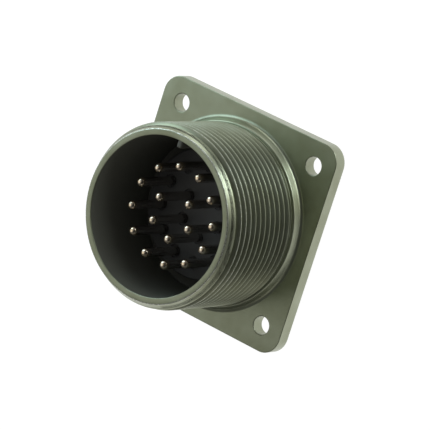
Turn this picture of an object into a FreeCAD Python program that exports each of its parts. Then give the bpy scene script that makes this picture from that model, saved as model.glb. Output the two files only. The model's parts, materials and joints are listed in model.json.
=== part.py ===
import FreeCAD, Part
import Sketcher
import math
import os
import re

# Box-mounting circular receptacle: a square four-hole flange and a threaded barrel in one shell,
# an insert in two halves, 17 male pin contacts and the ring that holds them all in.
# The origin is the centre of the flange's rear face. +Z points out of the open mouth, the way the
# mating plug leaves, and +Y points to the polarising key. Lengths are millimetres, turns degrees.

sizes = {
    # square flange; its margin runs from a hole's centre to the flange's side
    "hole_pitch": 29.36,
    "hole_diameter": 3.2,
    "flange_margin": 4.37,
    "flange_thickness": 2.6,
    "flange_corner": 3.4,
    "flange_edge_break": 0.2,
    # barrel, from the flange's front face to the rim
    "barrel_length": 19.05,
    "rim_diameter": 29.46,
    "rim_chamfer": 1.85,
    "collar_diameter": 32.1,
    "collar_height": 1.5,
    "collar_taper": 20.0,
    "collar_fillet": 0.6,
    "collar_round": 0.2,
    # coupling thread, right-handed with one start, and the relief behind it; the groove starts at its
    # height above the flange and its turn from +X
    "thread_diameter": 31.75,
    "thread_pitch": 1.411,
    "thread_depth": 0.8,
    "thread_angle": 60.0,
    "thread_root": 0.24,
    "thread_start": 2.213,
    "thread_turn": 120.0,
    "thread_overrun": 0.1,
    "relief_diameter": 30.9,
    "relief_width": 0.75,
    # mating cavity, its depths from the rim
    "bore_diameter": 27.32,
    "bore_depth": 16.2,
    "mating_depth": 13.2,
    "key_width": 1.0,
    "key_height": 1.3,
    "key_root": 0.3,
    "key_setback": 0.3,
    # web that the insert seats on, and the skirt behind the flange, which ends past the ring's groove
    "web_thickness": 1.6,
    "chamber_diameter": 25.4,
    "skirt_diameter": 28.5,
    "skirt_lip": 0.7,
    "skirt_chamfer": 0.4,
    # insert halves
    "nose_diameter": 23.0,
    "nose_chamfer": 0.3,
    "pin_recess_diameter": 2.3,
    "pin_recess_depth": 0.3,
    "front_insert_length": 4.6,
    "rear_insert_length": 4.4,
    "insert_clearance": 0.1,
    # split retaining ring
    "ring_thickness": 1.1,
    "ring_width": 1.3,
    "ring_groove_depth": 0.7,
    "ring_clearance": 0.05,
    "ring_gap": 4.0,
    # contacts
    "pin_diameter": 1.575,
    "pin_reach": 9.15,
    "tip_round": 0.65,
    "shoulder_diameter": 3.0,
    "shoulder_length": 1.2,
    "cup_diameter": 2.4,
    "cup_reach": 3.8,
    "well_diameter": 1.75,
    "well_depth": 3.6,
    "scoop_length": 1.8,
    "scoop_offset": 0.3,
    "contact_clearance": 0.05,
    # contact pattern: a ring of 12 round a ring of 5, turned from the key
    "outer_ring_diameter": 17.0,
    "inner_ring_diameter": 8.1,
    "pattern_turn": 10.0,
    "inner_upper_turn": 50.4,
    "inner_lower_turn": 112.9,
}

# Heights along Z, from the driving sizes.
rim_z = "(flange_thickness + barrel_length)"
collar_top_z = "(flange_thickness + collar_height)"
thread_bottom_z = f"({collar_top_z} + relief_width)"
web_front_z = f"({rim_z} - bore_depth)"
web_back_z = f"({web_front_z} - web_thickness)"
insert_face_z = f"({rim_z} - mating_depth)"
insert_split_z = f"({web_back_z} - front_insert_length)"
insert_back_z = f"({insert_split_z} - rear_insert_length)"
ring_back_z = f"({insert_back_z} - ring_thickness)"
tip_z = f"({insert_face_z} + pin_reach)"
cup_end_z = f"({insert_back_z} - cup_reach)"
groove_back_z = f"({ring_back_z} - ring_clearance)"
skirt_end_z = f"({groove_back_z} - skirt_lip)"

# Radii, from the same sizes.
bore_radius = "(bore_diameter / 2)"
chamber_radius = "(chamber_diameter / 2)"
skirt_radius = "(skirt_diameter / 2)"
thread_radius = "(thread_diameter / 2)"
nose_radius = "(nose_diameter / 2)"
web_opening = "(nose_diameter / 2 + insert_clearance)"
insert_body = "(chamber_diameter / 2 - insert_clearance)"
ring_groove = "(chamber_diameter / 2 + ring_groove_depth)"
ring_outer = f"({ring_groove} - ring_clearance)"
ring_inner = f"({ring_outer} - ring_width)"
pin_radius = "(pin_diameter / 2)"
shoulder_radius = "(shoulder_diameter / 2)"
cup_radius = "(cup_diameter / 2)"
well_radius = "(well_diameter / 2)"

doc = FreeCAD.newDocument("Receptacle")
sheet = doc.addObject("Spreadsheet::Sheet", "Sizes")
for row, (alias, number) in enumerate(sizes.items(), start=1):
    sheet.set(f"A{row}", alias)
    sheet.set(f"B{row}", str(number))
    sheet.setAlias(f"B{row}", alias)
doc.recompute()


# An expression with each size in it read from the sheet.
def bound(expression):
    return re.sub(r"[a-z_]+", lambda word: "Sizes." + word[0] if word[0] in sizes else word[0], expression)


def value(expression):
    return float(sheet.evalExpression(bound(expression)))


def new_body(label):
    body = doc.addObject("PartDesign::Body", label)
    body.Label = label
    return body


# A sketch on one of the body's own origin planes, lifted along that plane's normal.
def new_sketch(body, name, plane, height="0"):
    sketch = body.newObject("Sketcher::SketchObject", name)
    origin_planes = {feature.Role: feature for feature in body.Origin.OriginFeatures}
    sketch.AttachmentSupport = [(origin_planes[plane], "")]
    sketch.MapMode = "FlatFace"
    sketch.setExpression("AttachmentOffset.Base.z", bound(height))
    return sketch


def constrain(sketch, constraint, expression):
    index = sketch.addConstraint(constraint)
    sketch.setExpression(f"Constraints[{index}]", bound(expression))


# Ties a point of the sketch to its origin, or to an axis where the distance is nought.
def place_point(sketch, line, point, across, up):
    for kind, axis, distance in (("DistanceX", -2, across), ("DistanceY", -1, up)):
        if distance == "0":
            sketch.addConstraint(Sketcher.Constraint("PointOnObject", line, point, axis))
        else:
            rule = Sketcher.Constraint(kind, -1, 1, line, point, value(distance))
            constrain(sketch, rule, distance)


# An arc between two points that bulges to the right of the way, or to its left where it is hollow.
def arc_between(start, finish, radius, is_hollow):
    chord = finish - start
    rise = radius - math.sqrt(radius ** 2 - (chord.Length / 2) ** 2)
    right = FreeCAD.Vector(chord.y, -chord.x, 0).normalize()
    middle = (start + finish) / 2 + right * (-rise if is_hollow else rise)
    return Part.Arc(start, middle, finish)


# A closed outline through points, each a pair of expressions. Straight lines join them, and an arc
# leaves a point that also gives a radius and whether it is hollow.
def draw_outline(sketch, points):
    count = len(points)
    spots = [FreeCAD.Vector(value(point[0]), value(point[1]), 0) for point in points]
    ends = []
    for i, (across, up, *arc) in enumerate(points):
        start, finish = spots[i], spots[(i + 1) % count]
        if arc:
            radius, is_hollow = arc
            line = sketch.addGeometry(arc_between(start, finish, value(radius), is_hollow))
            constrain(sketch, Sketcher.Constraint("Radius", line, value(radius)), radius)
        else:
            line = sketch.addGeometry(Part.LineSegment(start, finish))
        starts_first = (sketch.getPoint(line, 1) - start).Length < (sketch.getPoint(line, 2) - start).Length
        ends.append((1, 2) if starts_first else (2, 1))
    for i in range(count):
        following = (i + 1) % count
        sketch.addConstraint(Sketcher.Constraint("Coincident", i, ends[i][1], following, ends[following][0]))
        place_point(sketch, i, ends[i][0], points[i][0], points[i][1])


def draw_circle(sketch, radius, across="0", up="0"):
    centre = FreeCAD.Vector(value(across), value(up), 0)
    circle = Part.Circle(centre, FreeCAD.Vector(0, 0, 1), value(radius))
    line = sketch.addGeometry(circle)
    place_point(sketch, line, 3, across, up)
    constrain(sketch, Sketcher.Constraint("Radius", line, value(radius)), radius)


# Material turned about Z from a half section, added or cut away.
def turn(body, name, points, kind="PartDesign::Revolution"):
    sketch = new_sketch(body, name + "_section", "XZ_Plane")
    draw_outline(sketch, points)
    feature = body.newObject(kind, name)
    feature.Profile = sketch
    feature.ReferenceAxis = (sketch, ["V_Axis"])
    feature.Angle = 360
    doc.recompute()
    return feature


def pad(body, name, sketch, length):
    feature = body.newObject("PartDesign::Pad", name)
    feature.Profile = sketch
    feature.setExpression("Length", bound(length))
    doc.recompute()
    return feature


# A pocket cut towards +Z from its sketch, or both ways through everything.
def pocket(body, name, sketch, length=None):
    before = body.Shape.Volume
    feature = body.newObject("PartDesign::Pocket", name)
    feature.Profile = sketch
    if length is None:
        feature.Type = "ThroughAll"
        feature.Midplane = True
    else:
        feature.Reversed = True
        feature.setExpression("Length", bound(length))
    doc.recompute()
    if not body.Shape.Volume < before:
        raise RuntimeError(name + " cuts nothing")
    return feature


# A fillet or chamfer on the edges of the body's last shape that pass the test.
def dress_edges(body, name, kind, is_wanted, size):
    base = body.Tip
    edges = [f"Edge{i}" for i, edge in enumerate(base.Shape.Edges, start=1) if is_wanted(edge)]
    feature = body.newObject("PartDesign::" + kind, name)
    feature.Base = (base, edges)
    feature.setExpression("Radius" if kind == "Fillet" else "Size", bound(size))
    doc.recompute()
    return feature


def is_ring_edge(edge, radius, height):
    circle = edge.Curve
    if not isinstance(circle, Part.Circle):
        return False
    same_radius = abs(circle.Radius - value(radius)) < 1e-4
    return same_radius and abs(circle.Center.z - value(height)) < 1e-4


def is_upright(edge):
    first, last = edge.Vertexes[0].Point, edge.Vertexes[-1].Point
    return abs(first.z - last.z) > 1e-4


# Contacts, clockwise from the front: letter, diameter of its ring and turn from +X.
outer_letters = "abcdefghjklm"
outer_step = 360 / len(outer_letters)
inner_turns = {
    "n": "-inner_upper_turn",
    "p": "-inner_lower_turn",
    "r": "+ 180",
    "s": "+ inner_lower_turn",
    "t": "+ inner_upper_turn",
}
contacts = [
    (letter, "outer_ring_diameter", f"(90 + pattern_turn - {i * outer_step})")
    for i, letter in enumerate(outer_letters)
]
for letter, turned in inner_turns.items():
    contacts.append((letter, "inner_ring_diameter", f"(90 + pattern_turn {turned})"))


def contact_spot(ring, turned):
    return f"({ring} / 2 * cos({turned}))", f"({ring} / 2 * sin({turned}))"


def draw_contact_circles(sketch, radius):
    for letter, ring, turned in contacts:
        across, up = contact_spot(ring, turned)
        draw_circle(sketch, radius, across, up)


# Square flange with rounded corners and its sharp edges broken.
def add_flange(body):
    half = "(hole_pitch / 2 + flange_margin)"
    sketch = new_sketch(body, "flange_outline", "XY_Plane")
    draw_outline(sketch, [("-" + half, "-" + half), (half, "-" + half), (half, half), ("-" + half, half)])
    pad(body, "flange", sketch, "flange_thickness")
    dress_edges(body, "flange_corners", "Fillet", is_upright, "flange_corner")
    dress_edges(body, "flange_edges", "Chamfer", lambda edge: not is_upright(edge), "flange_edge_break")


# Solid barrel and skirt, turned in one piece through the flange, with a low tapered collar at the
# barrel's foot that has a soft corner to the flange.
def add_barrel(body):
    inside_flange = "(flange_thickness / 2)"
    half_bend = "tan((90 - collar_taper) / 2)"
    collar_radius = "(collar_diameter / 2)"
    collar_foot = f"({collar_radius} + collar_height * tan(collar_taper))"
    fillet_reach = f"(collar_fillet * {half_bend})"
    round_reach = f"(collar_round * {half_bend})"
    relief_radius = "(relief_diameter / 2)"
    rim_radius = "(rim_diameter / 2)"
    turn(body, "barrel", [
        ("0", skirt_end_z),
        (f"({skirt_radius} - skirt_chamfer)", skirt_end_z),
        (skirt_radius, f"({skirt_end_z} + skirt_chamfer)"),
        (skirt_radius, inside_flange),
        (f"({collar_foot} + {fillet_reach})", inside_flange),
        (f"({collar_foot} + {fillet_reach})", "flange_thickness", "collar_fillet", True),
        (f"({collar_foot} - {fillet_reach} * sin(collar_taper))",
         f"(flange_thickness + {fillet_reach} * cos(collar_taper))"),
        (f"({collar_radius} + {round_reach} * sin(collar_taper))",
         f"({collar_top_z} - {round_reach} * cos(collar_taper))", "collar_round", False),
        (f"({collar_radius} - {round_reach})", collar_top_z),
        (relief_radius, collar_top_z),
        (relief_radius, thread_bottom_z),
        (thread_radius, thread_bottom_z),
        (thread_radius, f"({rim_z} - rim_chamfer)"),
        (rim_radius, rim_z),
        ("0", rim_z),
    ])


# V groove of the coupling thread, from the relief behind it up over the rim's chamfer.
def cut_thread(body):
    start_z = "(flange_thickness + thread_start)"
    root_radius = f"({thread_radius} - thread_depth)"
    mouth_radius = f"({thread_radius} + thread_overrun)"
    root_half = "(thread_root / 2)"
    mouth_half = f"({root_half} + (thread_depth + thread_overrun) * tan(thread_angle / 2))"
    sketch = new_sketch(body, "thread_section", "XZ_Plane")
    sketch.AttachmentOffset = FreeCAD.Placement(
        FreeCAD.Vector(), FreeCAD.Rotation(FreeCAD.Vector(0, 1, 0), value("thread_turn")))
    sketch.setExpression("AttachmentOffset.Rotation.Angle", bound("thread_turn"))
    draw_outline(sketch, [
        (root_radius, f"({start_z} - {root_half})"),
        (mouth_radius, f"({start_z} - {mouth_half})"),
        (mouth_radius, f"({start_z} + {mouth_half})"),
        (root_radius, f"({start_z} + {root_half})"),
    ])
    before = body.Shape.Volume
    groove = body.newObject("PartDesign::SubtractiveHelix", "thread")
    groove.Profile = sketch
    groove.ReferenceAxis = (sketch, ["V_Axis"])
    groove.Mode = "pitch-height-angle"
    groove.Angle = 0
    groove.LeftHanded = False
    groove.setExpression("Pitch", bound("thread_pitch"))
    groove.setExpression("Height", bound(f"{rim_z} + thread_pitch - {start_z}"))
    doc.recompute()
    if not body.Shape.Volume < before:
        raise RuntimeError("thread cuts nothing")


# Mating bore, the web's opening, the insert's chamber and the ring's groove.
def cut_bore(body):
    turn(body, "bore", [
        ("0", skirt_end_z),
        (chamber_radius, skirt_end_z),
        (chamber_radius, groove_back_z),
        (ring_groove, groove_back_z),
        (ring_groove, insert_back_z),
        (chamber_radius, insert_back_z),
        (chamber_radius, web_back_z),
        (web_opening, web_back_z),
        (web_opening, web_front_z),
        (bore_radius, web_front_z),
        (bore_radius, rim_z),
        ("0", rim_z),
    ], "PartDesign::Groove")


def cut_mounting_holes(body):
    half_pitch = "(hole_pitch / 2)"
    sketch = new_sketch(body, "hole_outline", "XY_Plane")
    for across in (half_pitch, "-" + half_pitch):
        for up in (half_pitch, "-" + half_pitch):
            draw_circle(sketch, "(hole_diameter / 2)", across, up)
    pocket(body, "mounting_holes", sketch)


# Polarising key: a rib along the bore at +Y, from the web almost to the rim.
def add_key(body):
    half = "(key_width / 2)"
    low = f"({bore_radius} - key_height)"
    high = f"({bore_radius} + key_root)"
    sketch = new_sketch(body, "key_outline", "XY_Plane", web_front_z)
    draw_outline(sketch, [("-" + half, low), (half, low), (half, high), ("-" + half, high)])
    pad(body, "key", sketch, "bore_depth - key_setback")


def make_shell():
    body = new_body("receptacle_shell")
    add_flange(body)
    add_barrel(body)
    cut_bore(body)
    cut_mounting_holes(body)
    add_key(body)
    cut_thread(body)
    return body


# Front insert half: its nose stands through the web, its body seats behind it, each contact's
# shoulder lies in a counterbore in its rear face, and a shallow recess rings each pin in front.
def make_front_insulator():
    body = new_body("front_insulator")
    turn(body, "insert_front", [
        ("0", insert_split_z),
        (insert_body, insert_split_z),
        (insert_body, web_back_z),
        (nose_radius, web_back_z),
        (nose_radius, f"({insert_face_z} - nose_chamfer)"),
        (f"({nose_radius} - nose_chamfer)", insert_face_z),
        ("0", insert_face_z),
    ])
    holes = new_sketch(body, "pin_hole_outlines", "XY_Plane", insert_split_z)
    draw_contact_circles(holes, f"({pin_radius} + contact_clearance)")
    pocket(body, "pin_holes", holes)
    seats = new_sketch(body, "shoulder_seat_outlines", "XY_Plane", insert_split_z)
    draw_contact_circles(seats, f"({shoulder_radius} + contact_clearance)")
    pocket(body, "shoulder_seats", seats, "shoulder_length")
    recesses = new_sketch(body, "pin_recess_outlines", "XY_Plane", f"({insert_face_z} - pin_recess_depth)")
    draw_contact_circles(recesses, "(pin_recess_diameter / 2)")
    pocket(body, "pin_recesses", recesses, "pin_recess_depth")
    return body


# Rear insert half: a plain disc that traps the shoulders and lets the solder cups through.
def make_rear_insulator():
    body = new_body("rear_insulator")
    turn(body, "insert_rear", [
        ("0", insert_back_z),
        (insert_body, insert_back_z),
        (insert_body, insert_split_z),
        ("0", insert_split_z),
    ])
    holes = new_sketch(body, "cup_hole_outlines", "XY_Plane", insert_back_z)
    draw_contact_circles(holes, f"({cup_radius} + contact_clearance)")
    pocket(body, "cup_holes", holes)
    return body


# Split spring ring: it lies on the rear insert half and snaps into the skirt's groove.
def make_retaining_ring():
    body = new_body("retaining_ring")
    ring = turn(body, "ring", [
        (ring_inner, ring_back_z),
        (ring_outer, ring_back_z),
        (ring_outer, insert_back_z),
        (ring_inner, insert_back_z),
    ])
    ring.setExpression("Angle", bound(f"360 - ring_gap / {ring_outer} * 180 / pi"))
    doc.recompute()
    return body


# One turned contact: rounded pin, trapped shoulder, and a solder cup with its side scooped away.
def make_contact(letter, ring, turned):
    body = new_body("pin_contact_" + letter)
    well_floor_z = f"({cup_end_z} + well_depth)"
    shoulder_front_z = f"({insert_split_z} + shoulder_length)"
    turn(body, f"contact_{letter}", [
        ("0", tip_z),
        (pin_radius, tip_z),
        (pin_radius, shoulder_front_z),
        (shoulder_radius, shoulder_front_z),
        (shoulder_radius, insert_split_z),
        (cup_radius, insert_split_z),
        (cup_radius, cup_end_z),
        (well_radius, cup_end_z),
        (well_radius, well_floor_z),
        ("0", well_floor_z),
    ])
    tip = lambda edge: is_ring_edge(edge, pin_radius, tip_z)
    dress_edges(body, f"tip_{letter}", "Fillet", tip, "tip_round")
    scoop = new_sketch(body, f"scoop_outline_{letter}", "XZ_Plane")
    past_cup = f"({cup_radius} + contact_clearance)"
    draw_outline(scoop, [
        ("scoop_offset", f"({cup_end_z} - contact_clearance)"),
        (past_cup, f"({cup_end_z} - contact_clearance)"),
        (past_cup, f"({cup_end_z} + scoop_length)"),
        ("scoop_offset", f"({cup_end_z} + scoop_length)"),
    ])
    pocket(body, f"scoop_{letter}", scoop)
    across, up = contact_spot(ring, turned)
    body.setExpression("Placement.Base.x", bound(across))
    body.setExpression("Placement.Base.y", bound(up))
    body.setExpression("Placement.Rotation.Angle", bound(turned))
    return body


pieces = [make_shell(), make_front_insulator(), make_rear_insulator(), make_retaining_ring()]
for letter, ring, turned in contacts:
    pieces.append(make_contact(letter, ring, turned))
doc.recompute()

for item in doc.Objects:
    if "Invalid" in item.State or "Error" in item.State:
        raise RuntimeError(f"{item.Label} failed: {item.State}")
for piece in pieces:
    if piece.Shape.isNull() or not piece.Shape.isValid() or len(piece.Shape.Solids) != 1:
        raise RuntimeError(f"{piece.Label} is not one valid solid")

os.makedirs("parts", exist_ok=True)
for piece in pieces:
    piece.Shape.exportStep(f"parts/{piece.Label}.step")
    box = piece.Shape.BoundBox
    print(f"{piece.Label}: {piece.Shape.Volume:.1f} mm3, z {box.ZMin:.2f} to {box.ZMax:.2f}")
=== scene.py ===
import json
import math

import bmesh
import bpy
from mathutils import Matrix, Vector
from mathutils.geometry import delaunay_2d_cdt


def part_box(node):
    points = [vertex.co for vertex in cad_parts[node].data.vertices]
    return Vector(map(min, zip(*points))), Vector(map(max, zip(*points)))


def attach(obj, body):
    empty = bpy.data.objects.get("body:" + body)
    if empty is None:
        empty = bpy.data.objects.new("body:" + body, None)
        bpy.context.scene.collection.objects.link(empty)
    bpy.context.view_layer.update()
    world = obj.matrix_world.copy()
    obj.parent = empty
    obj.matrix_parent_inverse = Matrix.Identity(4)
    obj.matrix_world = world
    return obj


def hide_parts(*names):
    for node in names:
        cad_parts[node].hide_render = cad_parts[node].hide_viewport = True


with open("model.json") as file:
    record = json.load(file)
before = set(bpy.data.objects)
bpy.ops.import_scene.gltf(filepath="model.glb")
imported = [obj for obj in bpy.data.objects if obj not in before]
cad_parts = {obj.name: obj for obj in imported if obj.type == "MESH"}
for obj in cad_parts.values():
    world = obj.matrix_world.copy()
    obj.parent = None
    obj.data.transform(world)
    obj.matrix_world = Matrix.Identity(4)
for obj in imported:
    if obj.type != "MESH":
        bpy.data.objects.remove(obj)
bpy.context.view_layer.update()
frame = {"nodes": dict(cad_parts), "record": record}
print("frame loaded")

mm = 0.001
scene = bpy.context.scene
mounts = {mount["name"]: mount for mount in frame["record"]["mounts"]}
contactNodes = sorted(name for name in frame["nodes"] if name.startswith("pin_contact_"))


# Lowest and highest corner of a node, in millimetres.
def boxOf(node):
    low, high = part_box(node)
    return low / mm, high / mm


shellLow, shellHigh = boxOf("receptacle_shell")
frontLow, frontHigh = boxOf("front_insulator")
rearLow, rearHigh = boxOf("rear_insulator")
ringLow, ringHigh = boxOf("retaining_ring")
contactLow, contactHigh = boxOf(contactNodes[0])


def contactAxis(node):
    low, high = boxOf(node)
    return (low.x + high.x) / 2, (low.y + high.y) / 2


contactAxes = {node: contactAxis(node) for node in contactNodes}


# What all meshes share. A stub, in millimetres, is how far a section's first and last line run on for
# their direction alone, and how far a cutter stands out of what it cuts.
meshing = {
    "digits": 5,
    "insideOnly": 1,
    "tolerance": 1e-6,
    "sharpAngle": math.radians(40),
    "roundSteps": 4,
    "stub": 1.0,
}


# Corners and faces of one mesh, in millimetres. Corners that coincide are kept once.
class MeshPlan:
    def __init__(self):
        self.corners = []
        self.places = {}
        self.faces = []
        self.finishes = []
        self.flatFaces = set()

    def corner(self, point):
        key = tuple(round(value, meshing["digits"]) for value in point)
        if key not in self.places:
            self.places[key] = len(self.corners)
            self.corners.append(tuple(value * mm for value in point))
        return self.places[key]

    def face(self, points, finish=0):
        order = []
        for index in (self.corner(point) for point in points):
            if index not in order:
                order.append(index)
        if len(order) > 2:
            self.faces.append(order)
            self.finishes.append(finish)

    # Quads between rows of as many points each.
    def bridge(self, rows, finish=0, isClosed=True):
        for low, high in zip(rows, rows[1:]):
            count = len(low)
            for i in range(count if isClosed else count - 1):
                j = (i + 1) % count
                self.face([low[i], low[j], high[j], high[i]], finish)

    # A flat face at one height inside a convex outline, with round holes (centre, radius, rim) left open.
    def plate(self, outline, holes, finish=0):
        points = list(outline)
        edges = [(i, (i + 1) % len(outline)) for i in range(len(outline))]
        for centre, radius, rim in holes:
            start = len(points)
            points += rim
            edges += [(start + i, start + (i + 1) % len(rim)) for i in range(len(rim))]
        flat = [Vector(point[:2]) for point in points]
        made = delaunay_2d_cdt(flat, edges, [], meshing["insideOnly"], meshing["tolerance"])
        triangles, origins = made[2:4]
        for triangle in triangles:
            corners = [points[origins[i][0]] for i in triangle]
            middle = sum((Vector(point[:2]) for point in corners), Vector((0, 0))) / 3
            if all((middle - Vector(centre)).length > radius for centre, radius, rim in holes):
                self.flatFaces.add(len(self.faces))
                self.face(corners, finish)

    # The finished piece, smooth but for its sharp edges and the rims of its flat plates.
    def build(self, name, materials):
        mesh = bpy.data.meshes.new(name)
        mesh.from_pydata(self.corners, [], self.faces)
        for material in materials:
            mesh.materials.append(material)
        mesh.polygons.foreach_set("material_index", self.finishes)
        work = bmesh.new()
        work.from_mesh(mesh)
        bmesh.ops.recalc_face_normals(work, faces=work.faces)
        for face in work.faces:
            face.smooth = True
        for edge in work.edges:
            sides = {face.index in self.flatFaces for face in edge.link_faces}
            edge.smooth = len(sides) == 1 and edge.calc_face_angle(0) < meshing["sharpAngle"]
        work.to_mesh(mesh)
        work.free()
        piece = bpy.data.objects.new(name, mesh)
        scene.collection.objects.link(piece)
        weighted = piece.modifiers.new("weighted normals", "WEIGHTED_NORMAL")
        weighted.keep_sharp = True
        return piece


# A half section through corners (radius, height), each with the radius of its round if it has one.
def roundedSection(corners, steps=meshing["roundSteps"]):
    section = []
    for i, (radius, height, *roundness) in enumerate(corners):
        here = Vector((radius, height))
        if not roundness or i in (0, len(corners) - 1):
            section.append(here)
            continue
        before = (Vector(corners[i - 1][:2]) - here).normalized()
        after = (Vector(corners[i + 1][:2]) - here).normalized()
        half = before.angle(after) / 2
        centre = here + (before + after).normalized() * roundness[0] / math.sin(half)
        start = here + before * roundness[0] / math.tan(half) - centre
        end = here + after * roundness[0] / math.tan(half) - centre
        for j in range(steps + 1):
            section.append(centre + start.slerp(end, j / steps).normalized() * roundness[0])
    return section


# A circle of points about an upright axis.
def ring(radius, height, count, axis=(0, 0)):
    angles = [2 * math.pi * i / count for i in range(count)]
    return [(axis[0] + radius * math.cos(a), axis[1] + radius * math.sin(a), height) for a in angles]


def turnedRows(section, count, axis=(0, 0)):
    return [ring(point.x, point.y, count, axis) for point in section]


# A square or oblong outline with round corners, about an upright axis.
def roundedOutline(halfWidth, halfDepth, radius, height, steps, axis=(0, 0)):
    outline = []
    quarters = [(1, 1), (-1, 1), (-1, -1), (1, -1)]
    for quarter, (sideX, sideY) in enumerate(quarters):
        centreX = axis[0] + sideX * (halfWidth - radius)
        centreY = axis[1] + sideY * (halfDepth - radius)
        for i in range(steps + 1):
            turn = math.pi / 2 * (quarter + i / steps)
            outline.append((centreX + radius * math.cos(turn), centreY + radius * math.sin(turn), height))
    return outline


# Materials

noise = {"low": 0.3, "high": 0.7, "detail": 2}  # most of a noise's values lie between low and high
colourMix = {"factor": 0, "first": 6, "second": 7, "result": 2}  # a Mix node's sockets for colours


# An sRGB hex colour as the linear one that shaders take.
def linearColour(hexText):
    values = [int(hexText[i:i + 2], 16) / 255 for i in (1, 3, 5)]
    return [v / 12.92 if v <= 0.04045 else ((v + 0.055) / 1.055) ** 2.4 for v in values] + [1]


# How many times a pattern of this size in millimetres goes into a metre.
def perMetre(size):
    return 1 / (size * mm)


# Adds a node with its settings and with what its sockets take, which is a value or another node's
# output. Gives the node, or the output that is asked for.
def addNode(tree, kind, settings={}, sockets={}, output=None):
    node = tree.nodes.new(kind)
    for name, value in settings.items():
        setattr(node, name, value)
    for name, source in sockets.items():
        if isinstance(source, bpy.types.NodeSocket):
            tree.links.new(source, node.inputs[name])
        else:
            node.inputs[name].default_value = source
    return node if output is None else node.outputs[output]


# A new material: its node tree, its shader's sockets and the place on the part, in metres.
def newMaterial(name, values):
    material = bpy.data.materials.new(name)
    material.use_nodes = True
    tree = material.node_tree
    tree.nodes.clear()
    surface = addNode(tree, "ShaderNodeBsdfPrincipled", {}, values)
    addNode(tree, "ShaderNodeOutputMaterial", {}, {"Surface": surface.outputs["BSDF"]})
    place = addNode(tree, "ShaderNodeTexCoord", output="Object")
    return material, tree, surface.inputs, place


plating = {
    "deep": "#8b8f78",
    "pale": "#9a9f8a",
    "bare": "#e2e4dc",
    "metallic": 0.9,
    "roughness": 0.34,
    "roughnessSpread": 0.05,
    "blotch": 5.0,
    "grit": 0.22,
    "gritDepth": 0.01,
    "gritStrength": 0.3,
    "fleck": 0.2,
    "fleckDetail": 4,
    "fleckLow": 0.42,
    "fleckHigh": 0.62,
}

# Where the plating is rubbed off, between radii or heights in millimetres, and how much of it is.
wear = {
    "crest": {"along": "radius", "low": 15.72, "high": 15.86, "share": 1.0},
    "crestHeight": {"along": "height", "low": 14.0, "high": 19.5, "share": 0.5},
    "rim": {"along": "radius", "low": 14.58, "high": 14.66, "share": 1.0},
    "rimHeight": {"along": "height", "low": 21.45, "high": 21.55, "share": 1.0},
}


# Handling has rubbed the plating off the rim's outer edge and the crests nearest the mouth, in fine
# flecks. Gives how bare each place is, from 0 to 1.
def wornShare(tree, place, flecks):
    flat = addNode(tree, "ShaderNodeVectorMath", {"operation": "MULTIPLY"},
                   {0: place, 1: (1, 1, 0)}, "Vector")
    along = {
        "radius": addNode(tree, "ShaderNodeVectorMath", {"operation": "LENGTH"}, {0: flat}, "Value"),
        "height": addNode(tree, "ShaderNodeSeparateXYZ", {}, {"Vector": place}, "Z"),
    }
    bands = {}
    for name, band in wear.items():
        bands[name] = addNode(tree, "ShaderNodeMapRange", {}, {
            "Value": along[band["along"]],
            "From Min": band["low"] * mm,
            "From Max": band["high"] * mm,
            "To Max": band["share"],
        }, "Result")
    crests = addNode(tree, "ShaderNodeMath", {"operation": "MULTIPLY"},
                     {0: bands["crest"], 1: bands["crestHeight"]}, "Value")
    edge = addNode(tree, "ShaderNodeMath", {"operation": "MULTIPLY"},
                   {0: bands["rim"], 1: bands["rimHeight"]}, "Value")
    rubbed = addNode(tree, "ShaderNodeMath", {"operation": "MAXIMUM"}, {0: crests, 1: edge}, "Value")
    return addNode(tree, "ShaderNodeMath", {"operation": "MULTIPLY"}, {0: rubbed, 1: flecks}, "Value")


# Machined aluminium, plated and olive drab chromated: a satin metal that takes its light from
# what stands round it, dark olive where that is dark and grey-green where it is bright.
def makePlating():
    values = {"Metallic": plating["metallic"]}
    material, tree, surface, place = newMaterial("olive chromated aluminium", values)
    details = {"blotch": noise["detail"], "grit": noise["detail"], "fleck": plating["fleckDetail"]}
    noises = {}
    for pattern, detail in details.items():
        sockets = {"Vector": place, "Scale": perMetre(plating[pattern]), "Detail": detail}
        noises[pattern] = addNode(tree, "ShaderNodeTexNoise", {}, sockets, "Fac")
    shade = addNode(tree, "ShaderNodeMapRange", {}, {
        "Value": noises["blotch"],
        "From Min": noise["low"],
        "From Max": noise["high"],
    }, "Result")
    colour = addNode(tree, "ShaderNodeMix", {"data_type": "RGBA"}, {
        colourMix["factor"]: shade,
        colourMix["first"]: linearColour(plating["deep"]),
        colourMix["second"]: linearColour(plating["pale"]),
    }, colourMix["result"])
    flecks = addNode(tree, "ShaderNodeMapRange", {}, {
        "Value": noises["fleck"],
        "From Min": plating["fleckLow"],
        "From Max": plating["fleckHigh"],
    }, "Result")
    colour = addNode(tree, "ShaderNodeMix", {"data_type": "RGBA"}, {
        colourMix["factor"]: wornShare(tree, place, flecks),
        colourMix["first"]: colour,
        colourMix["second"]: linearColour(plating["bare"]),
    }, colourMix["result"])
    spread = addNode(tree, "ShaderNodeMapRange", {}, {
        "Value": noises["grit"],
        "From Min": noise["low"],
        "From Max": noise["high"],
        "To Min": plating["roughness"] - plating["roughnessSpread"],
        "To Max": plating["roughness"] + plating["roughnessSpread"],
    }, "Result")
    bump = addNode(tree, "ShaderNodeBump", {}, {
        "Height": noises["grit"],
        "Distance": plating["gritDepth"] * mm,
        "Strength": plating["gritStrength"],
    }, "Normal")
    tree.links.new(colour, surface["Base Color"])
    tree.links.new(spread, surface["Roughness"])
    tree.links.new(bump, surface["Normal"])
    return material


# The bore is masked and painted black: a dull film with a faint warm cast.
boreFinish = {
    "deep": "#54544c",
    "pale": "#5c5c54",
    "metallic": 0.0,
    "roughness": 0.5,
    "grit": 0.3,
    "detail": 2,
    "gritDepth": 0.01,
    "gritStrength": 0.4,
}

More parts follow.
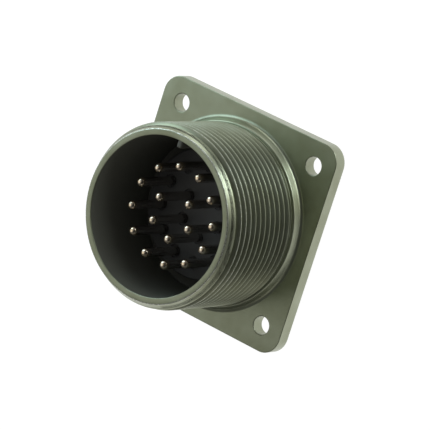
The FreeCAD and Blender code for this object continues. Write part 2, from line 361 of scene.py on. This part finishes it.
# Moulded black diallyl phthalate: a hard plastic, smooth from its mould with a low, even sheen.
insertFinish = {
    "deep": "#444443",
    "pale": "#4c4c4b",
    "metallic": 0.0,
    "roughness": 0.5,
    "grit": 0.35,
    "detail": 2,
    "gritDepth": 0.008,
    "gritStrength": 0.35,
}

# Spring steel wire, flattened: grey metal with a fine, uneven grain.
springFinish = {
    "deep": "#6f7173",
    "pale": "#8f9193",
    "metallic": 1.0,
    "roughness": 0.32,
    "grit": 0.25,
    "detail": 3,
    "gritDepth": 0.01,
    "gritStrength": 0.3,
}


# A finish whose fine grit shows a little in its colour and in its surface.
def makeGrittyFinish(name, finish):
    values = {"Metallic": finish["metallic"], "Roughness": finish["roughness"]}
    material, tree, surface, place = newMaterial(name, values)
    sockets = {"Vector": place, "Scale": perMetre(finish["grit"]), "Detail": finish["detail"]}
    grit = addNode(tree, "ShaderNodeTexNoise", {}, sockets, "Fac")
    colour = addNode(tree, "ShaderNodeMix", {"data_type": "RGBA"}, {
        colourMix["factor"]: grit,
        colourMix["first"]: linearColour(finish["deep"]),
        colourMix["second"]: linearColour(finish["pale"]),
    }, colourMix["result"])
    bump = addNode(tree, "ShaderNodeBump", {}, {
        "Height": grit,
        "Distance": finish["gritDepth"] * mm,
        "Strength": finish["gritStrength"],
    }, "Normal")
    tree.links.new(colour, surface["Base Color"])
    tree.links.new(bump, surface["Normal"])
    return material


# The gold's colours: random tones for the plate, and a greyer one that is painted shade on the shank in the
# bore.
gold = {
    "colour": "#fdeedb",
    "deep": "#f0d8b8",
    "paintedShankShade": "#cdc8c2",
    "metallic": 1.0,
    "roughness": 0.24,
    "blotch": 0.6,
    "shadeLow": 0.35,
    "shadeHigh": 0.65,
    "tipLength": 1.5,
    "fade": 0.9,
}


# Turned copper alloy under gold plate: a warm mirror. Down the shank in the bore its colour is painted
# greyer, as painted shade that keeps the shank as dark as the bore round it; the tip and the rear keep the
# full gold.
def makeGold():
    values = {"Metallic": gold["metallic"], "Roughness": gold["roughness"]}
    material, tree, surface, place = newMaterial("gold plate", values)
    sockets = {"Vector": place, "Scale": perMetre(gold["blotch"]), "Detail": noise["detail"]}
    blotches = addNode(tree, "ShaderNodeTexNoise", {}, sockets, "Fac")
    shade = addNode(tree, "ShaderNodeMapRange", {}, {
        "Value": blotches,
        "From Min": gold["shadeLow"],
        "From Max": gold["shadeHigh"],
    }, "Result")
    colour = addNode(tree, "ShaderNodeMix", {"data_type": "RGBA"}, {
        colourMix["factor"]: shade,
        colourMix["first"]: linearColour(gold["deep"]),
        colourMix["second"]: linearColour(gold["colour"]),
    }, colourMix["result"])
    height = addNode(tree, "ShaderNodeSeparateXYZ", {}, {"Vector": place}, "Z")
    shankTop = contactHigh.z - gold["tipLength"]
    shankEnd = frontLow.z
    atTip = addNode(tree, "ShaderNodeMapRange", {}, {
        "Value": height,
        "From Min": shankTop * mm,
        "From Max": (shankTop + gold["fade"]) * mm,
    }, "Result")
    atRear = addNode(tree, "ShaderNodeMapRange", {}, {
        "Value": height,
        "From Min": shankEnd * mm,
        "From Max": (shankEnd + gold["fade"]) * mm,
        "To Min": 1,
        "To Max": 0,
    }, "Result")
    clearOfPaintedShade = addNode(tree, "ShaderNodeMath", {"operation": "MAXIMUM"}, {0: atTip, 1: atRear}, "Value")
    # Painted shade: between the tip and the rear, the shank takes the greyer painted-shade colour instead
    # of the gold.
    colour = addNode(tree, "ShaderNodeMix", {"data_type": "RGBA"}, {
        colourMix["factor"]: clearOfPaintedShade,
        colourMix["first"]: linearColour(gold["paintedShankShade"]),
        colourMix["second"]: colour,
    }, colourMix["result"])
    tree.links.new(colour, surface["Base Color"])
    return material


platingMaterial = makePlating()
boreMaterial = makeGrittyFinish("black bore paint", boreFinish)
insertMaterial = makeGrittyFinish("moulded black plastic", insertFinish)
goldMaterial = makeGold()
springMaterial = makeGrittyFinish("spring steel", springFinish)
print("materials made")


# Receptacle shell

shell = {
    "steps": 288,
    "flangeThickness": 2.6,
    "cornerRadius": 3.4,
    "cornerSteps": 14,
    "edgeRound": 0.12,
    "holeSteps": 48,
    "holeEdge": 0.12,
    "edgeSteps": 3,
    "skirtRadius": 14.25,
    "skirtChamfer": 0.4,
    "collarRadius": 16.05,
    "collarHeight": 1.5,
    "collarTaper": math.tan(math.radians(20)),
    "collarFoot": 0.7,
    "collarRound": 0.35,
    "collarSteps": 6,
    "reliefRadius": 15.6,
    "reliefWidth": 0.6,
    "rimRadius": 14.73,
    "rimChamfer": 1.85,
    "rimEdge": 0.2,
    "boreRadius": 13.66,
    "boreEdge": 0.12,
    "webFront": 16.2,
    "webThickness": 1.6,
    "webRadius": 11.6,
    "chamberRadius": 12.7,
    "grooveDepth": 0.7,
    "clearance": 0.05,
    "smallRound": 0.08,
    "boreSlot": 1,
}

thread = {
    "radius": 15.875,
    "rootRadius": 15.075,
    "pitch": 1.411,
    "firstGroove": 4.343,
    "rootHalf": 0.185,
    "flankSlope": math.tan(math.radians(30)),
    "edgeEase": 0.04,
    "spareGrooves": 3,
}

key = {
    "halfWidth": 0.5,
    "height": 1.3,
    "root": 0.3,
    "setback": 0.3,
    "round": 0.3,
    "roundShare": 0.9,
    "steps": 4,
}

flangeFront = shell["flangeThickness"]
rimZ = shellHigh.z
collarTop = flangeFront + shell["collarHeight"]
threadBottom = collarTop + shell["reliefWidth"]
chamferStart = rimZ - shell["rimChamfer"]
coneSlope = (thread["radius"] - shell["rimRadius"]) / shell["rimChamfer"]
threadTop = chamferStart + (thread["radius"] - thread["rootRadius"]) / coneSlope
webFrontZ = rimZ - shell["webFront"]
webBackZ = webFrontZ - shell["webThickness"]


# Radius of the barrel's outside before the thread is cut.
def blankRadius(z):
    return thread["radius"] - coneSlope * max(0, z - chamferStart)


def grooveCentre(turn):
    return thread["firstGroove"] + thread["pitch"] * turn


# Radius of the threaded surface at a height, turn being the share of a revolution.
def threadRadius(turn, z):
    turnsUp = (z - grooveCentre(turn)) / thread["pitch"]
    away = abs(turnsUp - round(turnsUp)) * thread["pitch"]
    flank = thread["rootRadius"] + max(0, away - thread["rootHalf"]) / thread["flankSlope"]
    return min(blankRadius(z), flank)


# How far above and below its centre a groove meets the blank, on the barrel or on its chamfer.
def grooveReach(centre):
    slope = thread["flankSlope"]
    depth = thread["radius"] - thread["rootRadius"] + thread["rootHalf"] / slope
    plain = depth * slope
    onCone = depth - coneSlope * (centre - chamferStart)
    above = plain if centre + plain <= chamferStart else onCone / (1 / slope + coneSlope)
    below = plain if centre - plain <= chamferStart else onCone / (1 / slope - coneSlope)
    return above, below


# Heights of one groove's six lines, from the crest below it to the crest above it.
def grooveLines(centre):
    above, below = grooveReach(centre)
    low, high = centre - below, centre + above
    if below < thread["rootHalf"]:
        low = threadTop
    if above < thread["rootHalf"]:
        high = threadTop
    ease = thread["edgeEase"]
    easeBelow = min(ease / 2, below / 3)
    easeAbove = min(ease / 2, above / 3)
    root = thread["rootHalf"]
    return [low - ease, low + easeBelow, centre - root, centre + root, high - easeAbove, high + ease]


# The single-start right-hand thread as rows that climb with it. Where a row leaves the threaded
# length at either end, it runs along that end instead.
def threadRows(steps):
    turns = [i / steps for i in range(steps + 1)]
    rows = []
    count = math.ceil((threadTop - threadBottom) / thread["pitch"])
    spare = thread["spareGrooves"]
    for groove in range(-1, count + spare):
        lines = [grooveLines(grooveCentre(turn + groove)) for turn in turns]
        for line in range(len(lines[0])):
            row = []
            for i, turn in enumerate(turns):
                z = min(max(lines[i][line], threadBottom), threadTop)
                radius = threadRadius(turn, z)
                angle = 2 * math.pi * (i % steps) / steps
                row.append((radius * math.cos(angle), radius * math.sin(angle), z))
            rows.append(row)
    return rows


def mountingHoles():
    halfPitch = mounts["mounting_holes"]["dims"]["spacing_x_mm"] / 2
    return [(x * halfPitch, y * halfPitch) for x in (1, -1) for y in (1, -1)]


# The square flange with its four holes, open where the collar and the skirt stand on it.
def addFlange(plan, footRadius, skirtFoot):
    half = shellHigh.x
    edge = shell["edgeRound"]
    inside = half - edge - meshing["stub"]
    section = roundedSection([
        (inside, 0),
        (half, 0, edge),
        (half, flangeFront, edge),
        (inside, flangeFront),
    ], shell["edgeSteps"])[1:-1]
    outlines = []
    for point in section:
        inset = half - point.x
        radius = shell["cornerRadius"] - inset
        outlines.append(roundedOutline(point.x, point.x, radius, point.y, shell["cornerSteps"]))
    plan.bridge(outlines)
    holeRadius = mounts["mounting_holes"]["dims"]["hole_r_mm"]
    holeEdge = shell["holeEdge"]
    outside = holeRadius + holeEdge + meshing["stub"]
    holeSection = roundedSection([
        (outside, 0),
        (holeRadius, 0, holeEdge),
        (holeRadius, flangeFront, holeEdge),
        (outside, flangeFront),
    ], shell["edgeSteps"])[1:-1]
    rearHoles, frontHoles = [], []
    for centre in mountingHoles():
        rows = turnedRows(holeSection, shell["holeSteps"], centre)
        plan.bridge(rows)
        rearHoles.append((centre, holeSection[0].x, rows[0]))
        frontHoles.append((centre, holeSection[-1].x, rows[-1]))
    steps = shell["steps"]
    rearHoles.append(((0, 0), skirtFoot, ring(skirtFoot, 0, steps)))
    frontHoles.append(((0, 0), footRadius, ring(footRadius, flangeFront, steps)))
    plan.plate(outlines[0], rearHoles)
    plan.plate(outlines[-1], frontHoles)


def addSkirt(plan, skirtFoot):
    small = shell["smallRound"]
    section = roundedSection([
        (shell["chamberRadius"] + small, shellLow.z),
        (shell["skirtRadius"] - shell["skirtChamfer"], shellLow.z, small),
        (shell["skirtRadius"], shellLow.z + shell["skirtChamfer"], small),
        (shell["skirtRadius"], 0, small),
        (skirtFoot, 0),
    ])
    plan.bridge(turnedRows(section, shell["steps"]))


# The tapered collar with its filleted foot, and the relief between it and the thread. Gives the radius
# where the foot meets the flange.
def addCollar(plan, collarFoot):
    small = shell["smallRound"]
    section = roundedSection([
        (collarFoot + meshing["stub"], flangeFront),
        (collarFoot, flangeFront, shell["collarFoot"]),
        (shell["collarRadius"], collarTop, shell["collarRound"]),
        (shell["reliefRadius"], collarTop, small),
        (shell["reliefRadius"], threadBottom),
    ], shell["collarSteps"])[1:]
    plan.bridge(turnedRows(section, shell["steps"]))
    return section[0].x


def addThread(plan):
    steps = shell["steps"]
    rows = threadRows(steps)
    plan.bridge(rows, isClosed=False)
    shoulder = []
    for i in range(steps):
        radius = threadRadius(i / steps, threadBottom)
        angle = 2 * math.pi * i / steps
        shoulder.append((radius * math.cos(angle), radius * math.sin(angle), threadBottom))
    plan.bridge([ring(shell["reliefRadius"], threadBottom, steps), shoulder])


def addRim(plan):
    section = roundedSection([
        (thread["rootRadius"], threadTop),
        (shell["rimRadius"], rimZ, shell["rimEdge"]),
        (shell["boreRadius"], rimZ, shell["boreEdge"]),
        (shell["boreRadius"], rimZ - meshing["stub"]),
    ])[:-1]
    plan.bridge(turnedRows(section, shell["steps"]))


# From the rim down the bore, through the web and the insert's chamber to the skirt's end.
def addBore(plan):
    small = shell["smallRound"]
    bore, web, chamber = shell["boreRadius"], shell["webRadius"], shell["chamberRadius"]
    groove = chamber + shell["grooveDepth"]
    grooveBack = ringLow.z - shell["clearance"]
    steps = shell["steps"]
    upper = roundedSection([
        (bore, rimZ - shell["boreEdge"]),
        (bore, webFrontZ, small),
        (web, webFrontZ, small),
        (web, webBackZ),
    ])
    plan.bridge(turnedRows(upper, steps), shell["boreSlot"])
    lower = roundedSection([
        (web, webBackZ),
        (chamber, webBackZ, small),
        (chamber, ringHigh.z, small),
        (groove, ringHigh.z, small),
        (groove, grooveBack, small),
        (chamber, grooveBack, small),
        (chamber, shellLow.z, small),
        (chamber + small, shellLow.z),
    ])
    plan.bridge(turnedRows(lower, steps))


# The polarising rib, rounded along its edges and round its front end.
def addKey(plan):
    high = shell["boreRadius"] + key["root"]
    low = shell["boreRadius"] - key["height"]
    axis = (0, (low + high) / 2)
    halfDepth = (high - low) / 2
    front = rimZ - key["setback"]
    easing = key["round"]
    steps = key["steps"]
    outlines = [roundedOutline(key["halfWidth"], halfDepth, easing, webFrontZ, steps, axis)]
    for i in range(steps + 1):
        turn = math.pi / 2 * i / steps
        inset = easing * (1 - math.cos(turn)) * key["roundShare"]
        height = front - easing + easing * math.sin(turn)
        sides = key["halfWidth"] - inset, halfDepth - inset
        outlines.append(roundedOutline(*sides, easing - inset, height, steps, axis))
    plan.bridge(outlines, shell["boreSlot"])
    plan.face(outlines[0], shell["boreSlot"])
    plan.face(outlines[-1], shell["boreSlot"])


def makeShell():
    collarFoot = shell["collarRadius"] + shell["collarHeight"] * shell["collarTaper"]
    skirtFoot = shell["skirtRadius"] + shell["smallRound"]
    plan = MeshPlan()
    footRadius = addCollar(plan, collarFoot)
    addFlange(plan, footRadius, skirtFoot)
    addSkirt(plan, skirtFoot)
    addThread(plan)
    addRim(plan)
    addBore(plan)
    addKey(plan)
    return plan.build("receptacle_shell_turned", [platingMaterial, boreMaterial])


shellPiece = makeShell()
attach(shellPiece, "root")
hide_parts("receptacle_shell")
print("shell made")


# Insert halves

insert = {
    "steps": 160,
    "holeSteps": 32,
    "noseRadius": 11.5,
    "noseChamfer": 0.3,
    "bodyRadius": 12.6,
    "pinHole": 0.8375,
    "pinRecess": 1.15,
    "recessDepth": 0.3,
    "shoulderHole": 1.55,
    "shoulderDepth": 1.2,
    "cupHole": 1.25,
    "edge": 0.06,
    "edgeSteps": 3,
}


# A turned disc with the same stepped hole at every contact.
def drilledDisc(name, section, holeSection):
    plan = MeshPlan()
    rows = turnedRows(section, insert["steps"])
    plan.bridge(rows)
    lowHoles, highHoles = [], []
    for axis in contactAxes.values():
        holeRows = turnedRows(holeSection, insert["holeSteps"], axis)
        plan.bridge(holeRows)
        lowHoles.append((axis, holeSection[0].x, holeRows[0]))
        highHoles.append((axis, holeSection[-1].x, holeRows[-1]))
    plan.plate(rows[0], lowHoles)
    plan.plate(rows[-1], highHoles)
    return plan.build(name, [insertMaterial])


def makeFrontInsert():
    edge, nose, body = insert["edge"], insert["noseRadius"], insert["bodyRadius"]
    splitZ, faceZ = frontLow.z, frontHigh.z
    stub = meshing["stub"]
    section = roundedSection([
        (body - stub, splitZ),
        (body, splitZ, edge),
        (body, webBackZ, edge),
        (nose, webBackZ, edge),
        (nose, faceZ - insert["noseChamfer"], edge),
        (nose - insert["noseChamfer"], faceZ, edge),
        (nose - stub, faceZ),
    ])[1:-1]
    shoulder, pin, recess = insert["shoulderHole"], insert["pinHole"], insert["pinRecess"]
    seatZ = splitZ + insert["shoulderDepth"]
    recessZ = faceZ - insert["recessDepth"]
    holeSection = roundedSection([
        (shoulder + stub, splitZ),
        (shoulder, splitZ, edge),
        (shoulder, seatZ, edge),
        (pin, seatZ, edge),
        (pin, recessZ, edge),
        (recess, recessZ, edge),
        (recess, faceZ, edge),
        (recess + stub, faceZ),
    ], insert["edgeSteps"])[1:-1]
    return drilledDisc("front_insert_moulding", section, holeSection)


def makeRearInsert():
    edge, body, cup = insert["edge"], insert["bodyRadius"], insert["cupHole"]
    stub = meshing["stub"]
    section = roundedSection([
        (body - stub, rearLow.z),
        (body, rearLow.z, edge),
        (body, rearHigh.z, edge),
        (body - stub, rearHigh.z),
    ])[1:-1]
    holeSection = roundedSection([
        (cup + stub, rearLow.z),
        (cup, rearLow.z, edge),
        (cup, rearHigh.z, edge),
        (cup + stub, rearHigh.z),
    ], insert["edgeSteps"])[1:-1]
    return drilledDisc("rear_insert_moulding", section, holeSection)


for made, node in ((makeFrontInsert(), "front_insulator"), (makeRearInsert(), "rear_insulator")):
    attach(made, "root")
    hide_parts(node)
print("insert made")


# Retaining ring

retainer = {"outer": 13.35, "width": 1.3, "gap": 4.0, "steps": 150, "edge": 0.12}


# A flat split ring, open from +X a little towards -Y, with its edges rounded and its two ends closed.
def makeRetainer():
    outer = retainer["outer"]
    inner = outer - retainer["width"]
    edge = retainer["edge"]
    corners = [
        (inner, ringLow.z, edge),
        (outer, ringLow.z, edge),
        (outer, ringHigh.z, edge),
        (inner, ringHigh.z, edge),
    ]
    section = roundedSection([corners[-1]] + corners + [corners[0]])[1:-1]
    opening = retainer["gap"] / outer
    rows = []
    for i in range(retainer["steps"] + 1):
        angle = (2 * math.pi - opening) * i / retainer["steps"]
        rows.append([(point.x * math.cos(angle), point.x * math.sin(angle), point.y) for point in section])
    plan = MeshPlan()
    plan.bridge(rows)
    plan.face(rows[0])
    plan.face(rows[-1])
    return plan.build("retaining_ring_wire", [springMaterial])


retainerPiece = makeRetainer()
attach(retainerPiece, "root")
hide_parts("retaining_ring")
print("ring made")


# Contacts

contact = {
    "steps": 40,
    "pinRadius": 0.7875,
    "tipRound": 0.65,
    "shoulderRadius": 1.5,
    "cupRadius": 1.2,
    "wellRadius": 0.875,
    "wellDepth": 3.6,
    "scoopLength": 1.8,
    "scoopOffset": 0.3,
    "scoopCorner": 0.02,
    "scoopSteps": 2,
    "edge": 0.05,
    "edgeSteps": 6,
}


# One turned contact on its own axis, with the side of its solder cup scooped away towards +X.
def contactMesh():
    edge = contact["edge"]
    pin, shoulder = contact["pinRadius"], contact["shoulderRadius"]
    cup, well = contact["cupRadius"], contact["wellRadius"]
    tipZ, endZ = contactHigh.z, contactLow.z
    splitZ = frontLow.z
    shoulderZ = splitZ + insert["shoulderDepth"]
    floorZ = endZ + contact["wellDepth"]
    section = roundedSection([
        (0, tipZ),
        (pin, tipZ, contact["tipRound"]),
        (pin, shoulderZ, edge),
        (shoulder, shoulderZ, edge),
        (shoulder, splitZ, edge),
        (cup, splitZ, edge),
        (cup, endZ, edge),
        (well, endZ, edge),
        (well, floorZ, edge),
        (0, floorZ),
    ], contact["edgeSteps"])
    plan = MeshPlan()
    plan.bridge(turnedRows(section, contact["steps"]))
    blank = plan.build("contact_blank", [goldMaterial])
    blank.modifiers.clear()
    cutter = MeshPlan()
    past = cup + meshing["stub"]
    middle = (contact["scoopOffset"] + past) / 2
    half = (past - contact["scoopOffset"]) / 2
    corner, steps = contact["scoopCorner"], contact["scoopSteps"]
    outlines = []
    for z in (endZ - meshing["stub"], endZ + contact["scoopLength"]):
        outlines.append(roundedOutline(half, past, corner, z, steps, (middle, 0)))
    cutter.bridge(outlines)
    cutter.face(outlines[0])
    cutter.face(outlines[1])
    tool = cutter.build("scoop_cutter", [])
    cut = blank.modifiers.new("scoop", "BOOLEAN")
    cut.operation = "DIFFERENCE"
    cut.solver = "EXACT"
    cut.object = tool
    shaped = bpy.data.meshes.new_from_object(blank.evaluated_get(bpy.context.evaluated_depsgraph_get()))
    shaped.name = "contact_turned"
    shaped.set_sharp_from_angle(angle=meshing["sharpAngle"])
    bpy.data.objects.remove(blank)
    bpy.data.objects.remove(tool)
    return shaped


def makeContacts():
    pattern = contactMesh()
    for node, (x, y) in contactAxes.items():
        mesh = pattern.copy()
        turned = Matrix.Rotation(math.atan2(y, x), 4, "Z")
        mesh.transform(Matrix.Translation(Vector((x, y, 0)) * mm) @ turned)
        piece = bpy.data.objects.new(node.replace("pin_", "gold_"), mesh)
        scene.collection.objects.link(piece)
        piece.modifiers.new("weighted normals", "WEIGHTED_NORMAL").keep_sharp = True
        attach(piece, "root")
        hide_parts(node)


makeContacts()
print("contacts made")


# Floor, light and camera

# Fitted to the photo: place, lens and sensor in millimetres, the camera's three axes, and the nearest
# and farthest that it sees, in metres.
camera = {
    "place": (285.56, 132.57, 448.12),
    "right": (0.7606, 0.2959, -0.5779),
    "up": (-0.3824, 0.9235, -0.0304),
    "back": (0.5247, 0.2441, 0.8155),
    "lens": 265.5,
    "sensor": 36,
    "near": 0.05,
    "far": 20,
}


def makeCamera():
    data = bpy.data.cameras.new("camera")
    data.lens = camera["lens"]
    data.sensor_width = camera["sensor"]
    data.clip_start = camera["near"]
    data.clip_end = camera["far"]
    holder = bpy.data.objects.new("camera", data)
    axes = Matrix([camera["right"], camera["up"], camera["back"]]).transposed().to_4x4()
    holder.matrix_world = Matrix.Translation(Vector(camera["place"]) * mm) @ axes
    scene.collection.objects.link(holder)
    scene.camera = holder


# The table's side in metres, its glow seen straight and in a mirror, and that glow's share. Then the
# room's light on dull surfaces and in mirrors, and where it falls off towards the camera and downwards.
studio = {
    "floorSize": 4.0,
    "floorColour": "#ececec",
    "floorGlow": 1.2,
    "floorShine": 1.31,
    "glowShare": 0.8,
    "fill": 0.32,
    "roomLight": 0.32,
    "roomDark": 0.032,
    "roomFrom": 0.40,
    "roomTo": 0.85,
    "lowSide": 0.35,
    "lowFrom": -0.5,
    "lowTo": 0.5,
}

# Soft boxes: the way to each from the part, along the camera's axes, then its distance and side in
# metres and its power in watts.
softBoxes = {
    "left": {"across": -0.95, "above": 0.0, "before": 0.3, "distance": 0.35, "side": 0.16, "power": 0.058,
             "colour": "#fdfff7"},
    "near": {"across": -0.75, "above": 0.62, "before": 0.2, "distance": 0.13, "side": 0.08, "power": 0.05,
             "colour": "#d4f3ff"},
    "far": {"across": -0.6, "above": 0.8, "before": 0.1, "distance": 0.35, "side": 0.16, "power": 0.088,
            "colour": "#e7f7ff"},
    "top": {"across": 0.1, "above": 0.98, "before": 0.15, "distance": 0.35, "side": 0.16, "power": 0.19,
            "colour": "#f9fffd"},
    "right": {"across": 0.62, "above": 0.52, "before": 0.59, "distance": 0.35, "side": 0.14, "power": 0.41,
              "colour": "#f2fcff"},
    "front": {"across": 0.74, "above": 0.20, "before": 0.64, "distance": 0.35, "side": 0.14, "power": 0.12,
              "colour": "#fdfff6"},
    "tips": {"across": -0.65, "above": 0.15, "before": 0.75, "distance": 0.35, "side": 0.16, "power": 0.015,
             "colour": "#fffbec"},
    "low": {"across": 0.0, "above": -0.95, "before": 0.3, "distance": 0.35, "side": 0.16, "power": 0.03,
            "colour": "#fffbec"},
}


# A white table. Its own glow keeps it white in the picture, with a faint shadow under the part.
def makeFloor():
    plan = MeshPlan()
    half = studio["floorSize"] / 2 / mm
    plan.face([(x * half, y * half, contactLow.z) for x, y in ((-1, -1), (1, -1), (1, 1), (-1, 1))])
    material = bpy.data.materials.new("white table")
    material.use_nodes = True
    tree = material.node_tree
    tree.nodes.clear()
    paint = {"Color": linearColour(studio["floorColour"])}
    matt = addNode(tree, "ShaderNodeBsdfDiffuse", {}, paint, "BSDF")
    path = addNode(tree, "ShaderNodeLightPath").outputs
    strength = addNode(tree, "ShaderNodeMapRange", {}, {
        "Value": path["Is Glossy Ray"],
        "To Min": studio["floorGlow"],
        "To Max": studio["floorShine"],
    }, "Result")
    glow = addNode(tree, "ShaderNodeEmission", {}, {"Strength": strength}, "Emission")
    seen = addNode(tree, "ShaderNodeMath", {"operation": "MAXIMUM"},
                   {0: path["Is Camera Ray"], 1: path["Is Glossy Ray"]}, "Value")
    seen = addNode(tree, "ShaderNodeMath", {"operation": "MAXIMUM"},
                   {0: seen, 1: path["Is Transmission Ray"]}, "Value")
    share = addNode(tree, "ShaderNodeMath", {"operation": "MULTIPLY"},
                    {0: seen, 1: studio["glowShare"]}, "Value")
    both = addNode(tree, "ShaderNodeMixShader", {}, {0: share, 1: matt, 2: glow}, "Shader")
    addNode(tree, "ShaderNodeOutputMaterial", {}, {"Surface": both})
    floor = plan.build("floor", [material])


# The room as the part mirrors it: light all round, less so below, and dark on the side where the
# photographer stands. Seen directly it is white.
def makeWorld():
    world = bpy.data.worlds.new("studio")
    scene.world = world
    world.use_nodes = True
    tree = world.node_tree
    tree.nodes.clear()
    way = addNode(tree, "ShaderNodeTexCoord", output="Generated")
    facing = addNode(tree, "ShaderNodeVectorMath", {"operation": "DOT_PRODUCT"},
                     {0: way, 1: camera["back"]}, "Value")
    rising = addNode(tree, "ShaderNodeVectorMath", {"operation": "DOT_PRODUCT"},
                     {0: way, 1: camera["up"]}, "Value")
    room = addNode(tree, "ShaderNodeMapRange", {"interpolation_type": "SMOOTHSTEP"}, {
        "Value": facing,
        "From Min": studio["roomFrom"],
        "From Max": studio["roomTo"],
        "To Min": studio["roomLight"],
        "To Max": studio["roomDark"],
    }, "Result")
    slope = addNode(tree, "ShaderNodeMapRange", {"interpolation_type": "SMOOTHSTEP"}, {
        "Value": rising,
        "From Min": studio["lowFrom"],
        "From Max": studio["lowTo"],
        "To Min": studio["lowSide"],
    }, "Result")
    path = addNode(tree, "ShaderNodeLightPath").outputs
    room = addNode(tree, "ShaderNodeMath", {"operation": "MULTIPLY"}, {0: room, 1: slope}, "Value")
    mirrored = addNode(tree, "ShaderNodeMath", {"operation": "MULTIPLY"},
                       {0: path["Is Glossy Ray"], 1: room}, "Value")
    lit = addNode(tree, "ShaderNodeMath", {"operation": "MULTIPLY"},
                  {0: path["Is Diffuse Ray"], 1: studio["fill"]}, "Value")
    strength = addNode(tree, "ShaderNodeMath", {"operation": "MAXIMUM"}, {0: lit, 1: mirrored}, "Value")
    strength = addNode(tree, "ShaderNodeMath", {"operation": "MAXIMUM"},
                       {0: strength, 1: path["Is Camera Ray"]}, "Value")
    white = {"Color": (1, 1, 1, 1), "Strength": strength}
    sky = addNode(tree, "ShaderNodeBackground", {}, white, "Background")
    addNode(tree, "ShaderNodeOutputWorld", {}, {"Surface": sky})


def makeSoftBoxes():
    for name, box in softBoxes.items():
        data = bpy.data.lights.new(name + " soft box", "AREA")
        data.shape = "SQUARE"
        data.size = box["side"]
        data.energy = box["power"]
        data.color = linearColour(box["colour"])[:3]
        lamp = bpy.data.objects.new(name + " soft box", data)
        right, up, back = (Vector(camera[side]) for side in ("right", "up", "back"))
        way = (right * box["across"] + up * box["above"] + back * box["before"]).normalized()
        lamp.location = way * box["distance"]
        lamp.rotation_mode = "QUATERNION"
        lamp.rotation_quaternion = way.to_track_quat("Z", "Y")
        scene.collection.objects.link(lamp)


makeFloor()
makeWorld()
makeSoftBoxes()
makeCamera()
scene.view_settings.view_transform = "Standard"
print("studio made")
